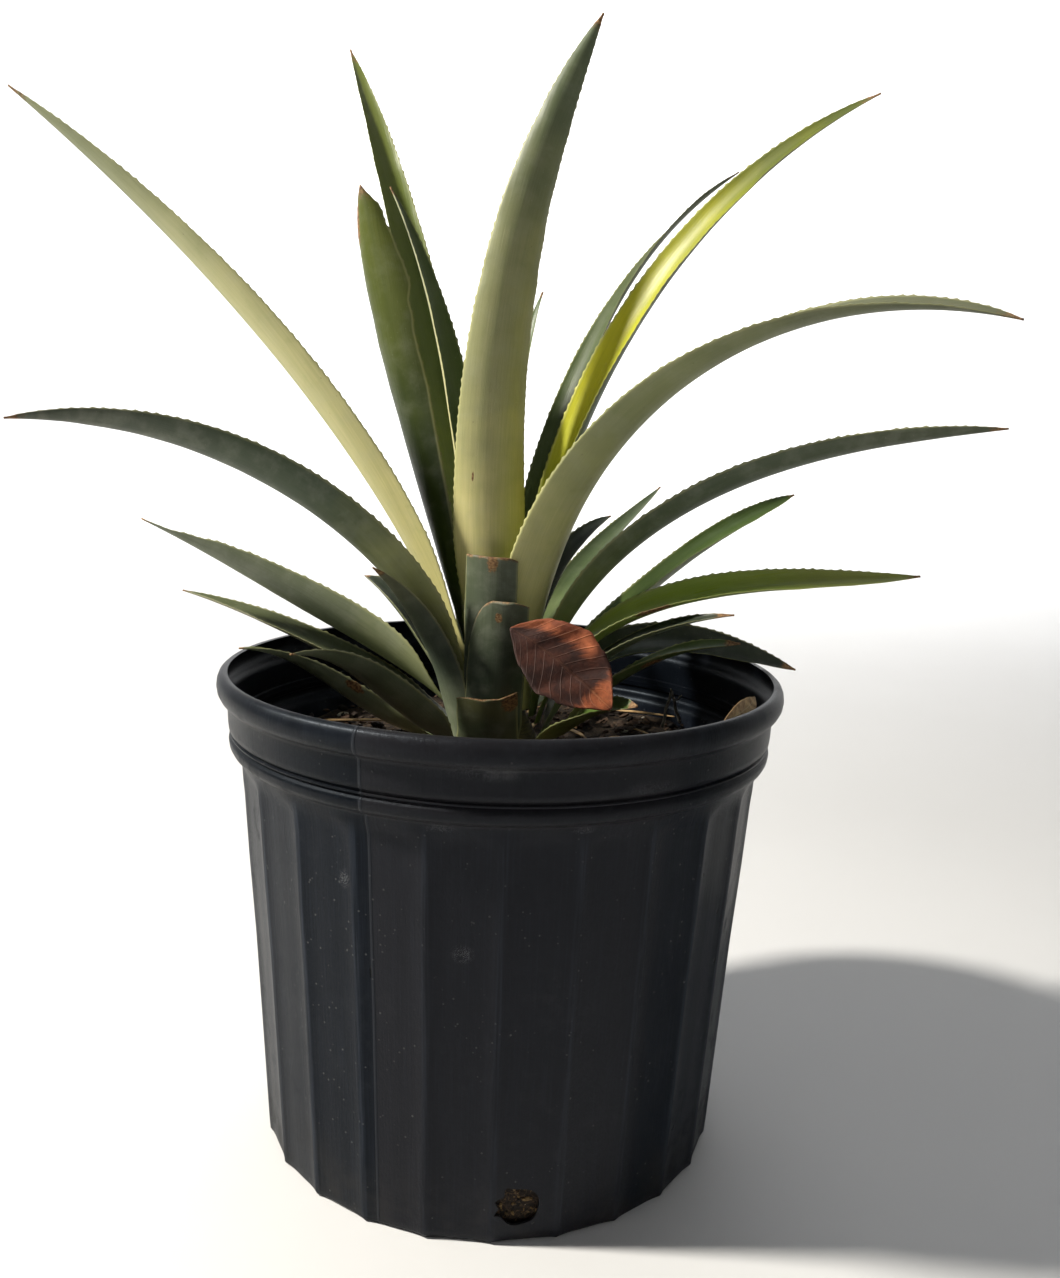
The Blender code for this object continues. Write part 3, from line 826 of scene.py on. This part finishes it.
def pot_finish():
    """Dark blow-moulded plastic: mould streaks, a parting line, dust, scuffs, specks and nicks, with a painted
    highlight on the flute ridges and painted shade on the collar and rim.
    """
    made = Finish("pot_plastic")
    place = made.place()
    x, y, height = made.parts(place)
    height = height * 1000.0
    turn = y.math("ARCTAN2", x) * (180 / math.pi)
    round_way = made.vector(turn * MM_PER_DEGREE, height, 0.0)
    streaks = made.grain(made.stretched(round_way, (0.9, 0.018, 1.0)), 1.0, 4.0, 0.6)
    fine_streaks = made.grain(made.stretched(round_way, (4.0, 0.05, 1.0)), 1.0, 2.0)
    cloud = made.grain(place, 14.0, 4.0, 0.6)
    colour = made.blend(cloud, tone(8, 11, 17), tone(15, 19, 26))
    colour = made.blend(made.ease(streaks, 0.45, 0.75) * 0.4, colour, tone(30, 35, 44))
    dust = made.ease(made.grain(place, 60.0, 5.0, 0.7), 0.5, 0.75) * made.ease(cloud, 0.4, 0.62)
    colour = made.blend(dust * 0.2, colour, tone(70, 72, 74))
    low_patches = made.ease(made.grain(place, 40.0, 4.0, 0.65), 0.4, 0.65)
    low_dust = made.fade(height, 0.0, 45.0) * low_patches
    colour = made.blend(low_dust * 0.14, colour, tone(96, 92, 84))
    big = made.fade(made.flecks(place, 95.0), 0.035, 0.06) * made.ease(made.grain(place, 26.0), 0.5, 0.56)
    small = made.fade(made.flecks(place, 230.0), 0.07, 0.14)
    small_here = made.ease(made.grain(place, 33.0), 0.46, 0.56)
    specks = big.math("MAXIMUM", small * small_here * 0.7)
    colour = made.blend(specks * 0.3, colour, tone(140, 140, 136))
    scratches = made.grain(made.stretched(round_way, (0.5, 0.5, 1.0)), 0.9, 6.0, 0.75, 1.2)
    scratch = made.between(scratches, 0.497, 0.503, 0.004)
    scuffs = pot_marks(made, turn, height, SCUFFS, 0.3, 1.1)
    rubbed = scuffs * (scratch * 0.9 + dust * 0.7)
    colour = made.blend(rubbed, colour, tone(170, 172, 174))
    nicks = pot_marks(made, turn, height, NICKS, 0.6, 1.0)
    colour = made.blend(nicks, colour, (0.001, 0.001, 0.001))
    # Painted highlight: the flute ridges are painted lighter, broken up by the mould streaks.
    flute = ((turn + (90.0 - FLUTE_PHASE)) / (360.0 / FLUTES)).math("FRACT")
    ridge = made.ease(abs(flute * 2.0 - 1.0), 0.84, 0.98) * made.fade(height, 188.0, 200.0)
    ridge_highlight = ridge * made.ease(streaks, 0.3, 0.65)
    colour = made.blend(ridge_highlight * 0.4, colour, tone(54, 60, 70))
    # Painted shade: the collar and rim are painted darker than the body.
    rim_painted_shade = made.ease(height, 198.0, 203.0)
    colour = made.blend(rim_painted_shade * 0.55, colour, tone(3, 5, 8))
    lip_wear = made.ease(height, 228.0, 236.0) * made.ease(made.grain(place, 30.0, 4.0, 0.7), 0.42, 0.65)
    colour = made.blend(lip_wear * 0.1, colour, tone(66, 72, 82))
    seam_front = made.fade(abs(turn - PARTING_LINE), 0.12, 0.4)
    seam_back = made.fade(abs(turn - PARTING_LINE - 180.0), 0.12, 0.4)
    seam = seam_front.math("MAXIMUM", seam_back)
    colour = made.blend(seam * 0.3, colour, tone(64, 68, 74))
    past_seam = made.ease(turn, PARTING_LINE - 1.0, PARTING_LINE + 1.0)
    rough_side = past_seam * made.fade(turn, -62.0, -50.0)
    colour = made.blend(rough_side * 0.4, colour, tone(46, 44, 46))
    pebble = made.grain(made.stretched(round_way, (0.75, 0.38, 1.0)), 1.0, 3.0, 0.6)
    rough = 0.36 + (cloud - 0.5) * 0.16 + dust * 0.25 + rubbed * 0.2 + low_dust * 0.2 - rough_side * 0.04
    height_map = pebble * (rough_side * 0.8 + 0.12) + fine_streaks * 0.35 + streaks * 0.5 + scratch * 0.06
    skin = made.relief(height_map, 0.35, 0.0006)
    cuts = made.relief(seam * 0.7 + specks * 0.4 - nicks * 2.0, 0.7, 0.0005, skin)
    shine = {"Specular_IOR_Level": 0.1, "Specular_Tint": (0.72, 0.85, 1.0)}
    return made.surface(Base_Color=colour, Roughness=rough, Normal=cuts, **shine)


def pot_mesh():
    """The ribbed shell, whose flutes end in arches under the collar, with its drain holes cut."""
    outer, inner = pot_rows()
    rows = np.vstack((outer[1:], inner[:-1]))
    count = FLUTES * FLUTE_SAMPLES
    turn = np.arange(count) * 360.0 / count
    depth = flute_depth(turn)
    part = np.abs(2 * np.mod(turn / (360.0 / FLUTES), 1.0) - 1)
    lift = FLUTE_ARCH * (1 - part**2)
    azimuth = np.radians(-90 + FLUTE_PHASE + turn)
    points = []
    for radius, height, fluted in rows:
        share = np.full(count, fluted)
        if FLUTE_TOPS[0] < height < FLUTE_TOPS[1]:
            share = smooth((FLUTE_END + lift - height) / FLUTE_FADE)
        reach = radius - share * depth
        level = np.full(count, height)
        points.append(np.stack((reach * np.cos(azimuth), reach * np.sin(azimuth), level), -1))
    points = np.concatenate(points)
    pot = mesh_piece("pot_shell", points, ring_faces(len(rows), count), pot_finish(), "pot_plastic", ["pot"])
    cutters = [ragged_drain(number) for number in range(DRAINS)]
    for cutter in cutters:
        cut = pot.modifiers.new("drain", "BOOLEAN")
        cut.operation = "DIFFERENCE"
        cut.solver = "EXACT"
        cut.object = cutter
    bpy.context.view_layer.update()
    carved = bpy.data.meshes.new_from_object(pot.evaluated_get(bpy.context.evaluated_depsgraph_get()))
    pot.modifiers.clear()
    pot.data = carved
    for cutter in cutters:
        bpy.data.objects.remove(cutter)
    carved.polygons.foreach_set("use_smooth", [True] * len(carved.polygons))
    carved.set_sharp_from_angle(angle=math.radians(50))


pot_mesh()


# Soil, stem and the dry litter over the soil


def soil_finish():
    made = Finish("potting_soil")
    place = made.place()
    lumps = made.grain(place, 240.0, 5.0, 0.65)
    cloud = made.grain(place, 40.0, 3.0)
    colour = made.ramp(lumps, ((0.3, tone(14, 12, 11)), (0.55, tone(36, 29, 24)), (0.75, tone(66, 52, 40))))
    colour = made.blend(made.ease(cloud, 0.5, 0.7) * 0.4, colour, tone(46, 38, 30))
    fibre = made.grain(made.stretched(place, (1.0, 3.5, 1.0)), 160.0, 3.0, 0.6, 1.5)
    colour = made.blend(made.between(fibre, 0.49, 0.51, 0.01) * 0.5, colour, tone(110, 88, 62))
    white = made.fade(made.flecks(place, 130.0), 0.05, 0.1) * made.ease(cloud, 0.52, 0.56)
    colour = made.blend(white * 0.7, colour, tone(180, 174, 160))
    relief = made.relief(lumps + fibre * 0.5, 0.8, 0.002)
    rough = 0.82 + lumps * 0.16
    return made.surface(Base_Color=colour, Roughness=rough, Normal=relief, Specular_IOR_Level=0.25)


def soil_mesh():
    """A lumpy bed, a little mounded at the stem, down to the pot's floor."""
    rim = 124.3
    count = 160
    rings = [(radius, SOIL_TOP + 1.5, 1.0) for radius in np.linspace(1.5, rim - 1.5, 46)]
    rings += [(rim, SOIL_TOP - 2.5, 0.6), (rim - 1.0, 180.0, 0.2)]
    rings += [(mix(rim - 1.5, 111.6, k / 12), mix(178.0, 10.0, k / 12), 0.5) for k in range(13)]
    rings += [(106.5, 2.0, 0.0), (50.0, 1.9, 0.0), (2.0, 1.9, 0.0)]
    azimuth = np.linspace(0, 2 * math.pi, count, endpoint=False)
    points = []
    for radius, height, rough in rings:
        for turn in azimuth:
            at = Vector((radius * math.cos(turn), radius * math.sin(turn), height))
            lump = noise.fractal(at / 9.0, 1.0, 2.1, 4) * 2.0 + noise.noise(at / 30.0) * 1.6
            if rough == 1.0:
                mound = 2.6 * math.exp(-((radius / 45.0) ** 2))
                at.z += min(lump + mound - 2.2, 2.2)
            elif rough > 0.1:
                shrink = 1 - abs(lump) * 0.3 * rough / radius
                at.x *= shrink
                at.y *= shrink
            points.append(at)
    faces = ring_faces(len(rings), count)
    mesh_piece("soil_bed", np.array(points), faces, soil_finish(), "potting_soil", ["soil"])


soil_mesh()


def crumb_finish(name, dark, light, pale):
    made = Finish(name)
    place = made.place()
    shade = made.amount_named("shade")
    grain = made.grain(made.stretched(place, (1.0, 1.0, 2.0)), 500.0, 4.0, 0.6)
    colour = made.blend(made.ease(shade, 0.0, 0.85), dark, light)
    colour = made.blend(made.ease(shade, 0.93, 0.95), colour, pale)
    colour = made.blend(grain * 0.5, colour, made.times(colour, (0.35, 0.33, 0.3)))
    relief = made.relief(grain, 0.6, 0.0008)
    rough = 0.7 + grain * 0.25
    return made.surface(Base_Color=colour, Roughness=rough, Normal=relief, Specular_IOR_Level=0.3)


def crumbs(name, places, sizes, flatness, look, slot_name, seed):
    """Many small broken lumps as one piece."""
    rng = np.random.default_rng(seed)
    bm = bmesh.new()
    bmesh.ops.create_icosphere(bm, subdivisions=1, radius=1.0)
    ball = np.array([vert.co[:] for vert in bm.verts])
    triangles = np.array([[vert.index for vert in face.verts] for face in bm.faces])
    bm.free()
    points = []
    faces = []
    shades = []
    for number, (at, size) in enumerate(zip(places, sizes)):
        lump = ball * (1 + rng.uniform(-0.3, 0.3, (len(ball), 1)))
        lump = lump * np.array((1.0, rng.uniform(0.35, 0.8), flatness * rng.uniform(0.5, 1.0))) * size
        lump = lump @ np.array(Matrix.Rotation(rng.uniform(-0.5, 0.5), 3, "Y")).T
        lump = lump @ np.array(Matrix.Rotation(rng.uniform(0, 6.28), 3, "Z")).T
        points.append(lump + at)
        faces.append(triangles + number * len(ball))
        shades.append(np.full(len(ball), rng.uniform(0, 1)))
    joined = np.concatenate(faces).tolist()
    piece = mesh_piece(name, np.concatenate(points), joined, look, slot_name)
    piece.data.polygons.foreach_set("use_smooth", [False] * len(piece.data.polygons))
    add_amount(piece.data, "shade", np.concatenate(shades))


def scatter(count, inner, outer, seed):
    """Even places over a ring of the soil's top."""
    rng = np.random.default_rng(seed)
    radius = np.sqrt(rng.uniform(inner**2, outer**2, count))
    turn = rng.uniform(0, 2 * math.pi, count)
    height = SOIL_TOP + 1.2 + rng.uniform(-1.0, 1.8, count)
    return np.stack((radius * np.cos(turn), radius * np.sin(turn), height), -1)


def bark_chips():
    count = 900
    look = crumb_finish("bark_chips", tone(24, 19, 16), tone(74, 56, 42), tone(170, 164, 150))
    sizes = np.random.default_rng(11).uniform(1.0, 3.4, count) ** 1.2
    crumbs("bark_chips", scatter(count, 28, 119, 5), sizes, 0.5, look, "potting_soil", 6)


bark_chips()


def drain_fill():
    """Loose soil and bits of litter that show through the drain holes."""
    rng = np.random.default_rng(31)
    places = []
    crumbs_each = 55
    for number in range(DRAINS):
        azimuth = -90 + DRAIN_PHASE + number * 90
        for _ in range(crumbs_each):
            turn = math.radians(azimuth + rng.uniform(-4.6, 4.6))
            reach = rng.uniform(111.2, 112.2)
            height = DRAIN_HEIGHT + rng.uniform(-DRAIN_RADIUS, DRAIN_RADIUS)
            places.append((reach * math.cos(turn), reach * math.sin(turn), height))
    look = crumb_finish("drain_crumbs", tone(20, 17, 14), tone(122, 100, 66), tone(196, 190, 168))
    sizes = rng.uniform(0.5, 1.5, len(places))
    crumbs("drain_crumbs", np.array(places), sizes, 1.0, look, "potting_soil", 8)


drain_fill()


def stem_finish():
    made = Finish("stem_bark")
    place = made.place()
    rings = made.grain(made.stretched(place, (1.0, 1.0, 6.0)), 90.0, 4.0, 0.6)
    stops = ((0.3, tone(60, 50, 30)), (0.55, tone(112, 104, 66)), (0.75, tone(150, 150, 104)))
    colour = made.ramp(rings, stops)
    relief = made.relief(rings, 0.6, 0.001)
    return made.surface(Base_Color=colour, Roughness=0.6 + rings * 0.3, Normal=relief)


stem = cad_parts["stem"]
stem.data.materials.clear()
stem.data.materials.append(stem_finish())

Litter = namedtuple("Litter", "name start heading turn rise length width roll channel hue")

# Start, heading, turn towards the tip, rise at the root, middle and tip, length, width, roll and half
# angle of the channel at the root and tip, colour
LITTER = (
    Litter("dead_tree_leaf", (3, -46, 268), -12, -8, (-24, -36, -38), 60, 39, (-60, -52), (22, 34), "rust"),
    Litter("dry_rim_leaf", (97, -88, 237), 52, 20, (4, 2, 4), 46, 9, (-55, -50), (20, 30), "tan"),
    Litter("straw_left", (-112, 38, 198), -8, 10, (5, 3, 0), 62, 4, (0, 0), (30, 30), "tan"),
    Litter("straw_right", (62, 86, 198), -40, 20, (5, 3, 0), 42, 4, (0, 0), (30, 30), "tan"),
    Litter("dry_scrap", (24, -62, 198), 10, 0, (12, 8, 0), 26, 8, (0, 0), (40, 40), "tan"),
)


def litter_finish(name, lit, deep, vein, scale, shadow_share=0.0):
    """Papery dead leaf: a paler midrib and side veins, blotches, frayed dark margins and, when asked, a painted
    shadow over all but its tip and one margin.
    """
    made = Finish(name)
    where = made.map_named("where")
    strip = made.map_named("strip")
    across, share, _ = made.parts(where)
    cloud = made.grain(strip, scale, 4.0, 0.6)
    fine = made.grain(strip, scale * 9, 3.0, 0.6)
    colour = made.blend(made.ease(cloud, 0.35, 0.65), deep, lit)
    side_veins = (share * 11.0 - abs(across) * 2.2).math("FRACT")
    ribs = made.fade(abs(side_veins - 0.5), 0.0, 0.07)
    midrib = made.fade(abs(across), 0.015, 0.06)
    lines = ribs.math("MAXIMUM", midrib)
    colour = made.blend(lines * 0.5, colour, vein)
    colour = made.blend(made.ease(fine, 0.5, 0.7) * 0.4, colour, deep)
    edge = made.ease(abs(across) + (cloud - 0.5) * 0.3, 0.82, 1.0)
    colour = made.blend(edge * 0.6, colour, deep)
    # Painted shadow: the middle of the leaf is darkened, leaving the tip and one margin lit.
    if shadow_share:
        uneven = (cloud - 0.5) * 0.5 + side_veins * 0.12
        lit_tip = made.ease(share + uneven * 0.3, 0.78, 0.86)
        lit_margin = made.fade(across + uneven, -0.62, -0.36) * made.fade(share, 0.55, 0.68)
        painted_shadow = (1.0 - lit_tip.math("MAXIMUM", lit_margin)) * shadow_share
        colour = made.blend(painted_shadow, colour, made.times(colour, (0.1, 0.07, 0.06)))
    relief = made.relief(lines * 0.8 + fine * 0.5 + cloud, 0.5, 0.0008)
    return made.surface(Base_Color=colour, Roughness=0.62 + fine * 0.25, Normal=relief)


RUST = (tone(188, 104, 62), tone(110, 52, 28), tone(200, 132, 88))
TAN = (tone(206, 174, 122), tone(132, 100, 62), tone(226, 204, 160))
LITTER_LOOKS = {
    # The fallen rust leaf carries the painted shadow.
    "rust": litter_finish("dead_leaf_rust", *RUST, 0.7, 0.95),
    "tan": litter_finish("dry_leaf_tan", *TAN, 1.2),
}


def litter_mesh(piece, seed, stands_for=True):
    """A thin curled sheet that is widest at its middle."""
    columns = 15
    rows = max(24, int(piece.length))
    share_row = np.arange(rows + 1) / rows
    share, across = np.meshgrid(share_row, np.linspace(-1, 1, columns), indexing="ij")
    start = np.array(piece.start, float)
    line = middle_line(start, piece.heading, piece.turn, piece.rise, piece.length, share.ravel())
    points, along, side = (item.reshape(share.shape + (3,)) for item in line)
    half = np.maximum(TIP_WIDTH, piece.width * np.clip(np.sin(math.pi * share), 0, 1) ** 0.8) / 2
    half = half * (1 + 0.05 * waves(share * piece.length / 3.0, seed))
    bend = half / np.radians(mix(piece.channel[0], piece.channel[1], share))
    roll = np.radians(mix(piece.roll[0], piece.roll[1], share))
    found, out, _ = sheet_points(points, along, side, half, bend, roll, across)
    ripple = waves(share * piece.length / 7.0 + across * 1.5, seed + 9)
    found = found + out * (ripple * np.clip(half / 14.0, 0, 1) * 0.9)[..., None]
    loop = both_faces(found, out, 0.34 * (1 - 0.5 * across**2))
    faces = ring_faces(rows + 1, loop.shape[1])
    name = piece.name + "_sheet"
    nodes = [piece.name] if stands_for else ()
    look = LITTER_LOOKS[piece.hue]
    made = mesh_piece(name, loop.reshape(-1, 3), faces, look, "leaf_" + piece.hue, nodes)
    add_leaf_maps(made.data, share, across, half, piece.length)


for number, piece in enumerate(LITTER):
    litter_mesh(piece, 300 + number)


def loose_straws():
    """Thin dry grass blades and torn leaf bits lying on the soil."""
    count = 26
    rng = np.random.default_rng(23)
    for number in range(count):
        turn = rng.uniform(0, 360)
        reach = rng.uniform(45, 96)
        way = math.radians(turn)
        height = SOIL_TOP + rng.uniform(2.0, 3.4)
        start = (reach * math.cos(way), reach * math.sin(way), height)
        length = rng.uniform(10, 30)
        heading = turn + rng.uniform(60, 300)
        rise = (rng.uniform(0, 8), 0, rng.uniform(-6, 4))
        shape = (start, heading, rng.uniform(-30, 30), rise, length, rng.uniform(1.5, 3.4))
        litter_mesh(Litter(f"straw_{number + 1}", *shape, (0, 0), (30, 30), "tan"), 400 + number, False)


loose_straws()


def twig_mesh():
    """A forked dry twig on two feet, with a spur at its fork and one on a leg."""
    foot = 197.6
    around = 8
    look = Finish("twig_bark")
    place = look.place()
    grain = look.grain(look.stretched(place, (1.0, 1.0, 0.3)), 700.0, 4.0)
    stops = ((0.3, tone(70, 64, 58)), (0.6, tone(128, 122, 112)), (0.8, tone(160, 152, 140)))
    colour = look.ramp(grain, stops)
    look.surface(Base_Color=colour, Roughness=0.7 + grain * 0.2, Normal=look.relief(grain, 0.7, 0.0005))
    low, high = (Vector(corner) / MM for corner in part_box("twig"))
    fork = Vector((mix(low.x, high.x, 0.42), mix(low.y, high.y, 0.42), high.z - 1.5))
    near_foot = Vector((low.x + 1, low.y + 1, foot))
    far_foot = Vector((high.x - 1, high.y - 1, foot))
    branch = fork.lerp(far_foot, 0.35)
    legs = ((near_foot, fork), (far_foot, fork))
    spurs = ((fork, fork + Vector((-0.5, -1.0, 1.2))), (branch, branch + Vector((4, 1, 4))))
    points = []
    faces = []
    for number, (first, second) in enumerate(legs + spurs):
        count = 8 if number < 2 else 4
        along = (second - first).normalized()
        side = along.orthogonal().normalized()
        upper = along.cross(side)
        base = len(points)
        for row in range(count + 1):
            share = row / count
            kink = 0.7 * math.sin(share * 9 + number) * math.sin(share * math.pi)
            centre = first.lerp(second, share) + side * kink
            radius = mix(1.0, 0.7, share) * (0.6 if number > 1 else 1.0) + 0.12 * math.sin(share * 25)
            for step in range(around):
                turn = step * math.pi / 4
                points.append(centre + side * (radius * math.cos(turn)) + upper * (radius * math.sin(turn)))
        faces += [tuple(base + index for index in face) for face in ring_faces(count + 1, around)]
    points = np.array([tuple(point) for point in points])
    mesh_piece("forked_twig", points, faces, look.material, "twig_bark", ["twig"])


twig_mesh()


# Studio


def add_light(name, power, aim, place, size, colour):
    """A round lamp; its place is the azimuth, rise and distance from what it is aimed at."""
    azimuth, rise, distance = place
    data = bpy.data.lights.new(name, "AREA")
    data.shape = "DISK"
    data.size = size
    data.energy = power
    data.color = colour
    lamp = bpy.data.objects.new(name, data)
    turn = math.radians(azimuth)
    up = math.radians(rise)
    away = Vector((math.cos(up) * math.cos(turn), math.cos(up) * math.sin(turn), math.sin(up)))
    lamp.location = Vector(aim) + away * distance
    lamp.rotation_mode = "QUATERNION"
    lamp.rotation_quaternion = away.to_track_quat("Z", "Y")
    bpy.context.scene.collection.objects.link(lamp)


def studio():
    """A pale round sweep with no corner, a small key light on the left, faint fill and a lit wall."""
    curve = 1.5
    drop = 0.0004
    bends = np.linspace(0.1, math.pi / 2, 12)
    profile = [(1.0, 0.0), (2.0, 0.0), (3.0, 0.0)]
    profile += [(3.0 + curve * math.sin(bend), curve - curve * math.cos(bend)) for bend in bends]
    profile += [(4.5, 3.0), (4.5, 5.0)]
    count = 96
    turns = np.arange(count) * 2 * math.pi / count
    points = [(r * math.cos(turn), r * math.sin(turn), z - drop) for r, z in profile for turn in turns]
    faces = ring_faces(len(profile), count)[:-1]
    mesh = bpy.data.meshes.new("sweep")
    mesh.from_pydata(points, [], faces)
    mesh.polygons.foreach_set("use_smooth", [True] * len(mesh.polygons))
    paint = Finish("studio_paint")
    cloud = paint.grain(paint.place(), 3.0)
    white = paint.blend(cloud, (0.66, 0.66, 0.66), (0.7, 0.7, 0.7))
    mesh.materials.append(paint.surface(Base_Color=white, Roughness=0.9))
    sweep = bpy.data.objects.new("studio_sweep", mesh)
    bpy.context.scene.collection.objects.link(sweep)
    world = bpy.data.worlds.new("studio")
    world.use_nodes = True
    background = world.node_tree.nodes["Background"]
    background.inputs[0].default_value = (0.88, 0.93, 1.0, 1.0)
    background.inputs[1].default_value = 0.08
    bpy.context.scene.world = world
    plant = (0.0, 0.0, 0.25)
    add_light("key", 72.0, plant, (-173, 42, 1.9), 0.18, (1.0, 0.955, 0.87))
    add_light("top", 4.0, plant, (60, 75, 2.2), 1.2, (0.92, 0.96, 1.0))
    add_light("backdrop", 170.0, (0.0, 4.5, 1.0), (-90, 37, 2.6), 1.6, (1.0, 1.0, 1.0))


studio()
bpy.context.scene.view_settings.view_transform = "Standard"
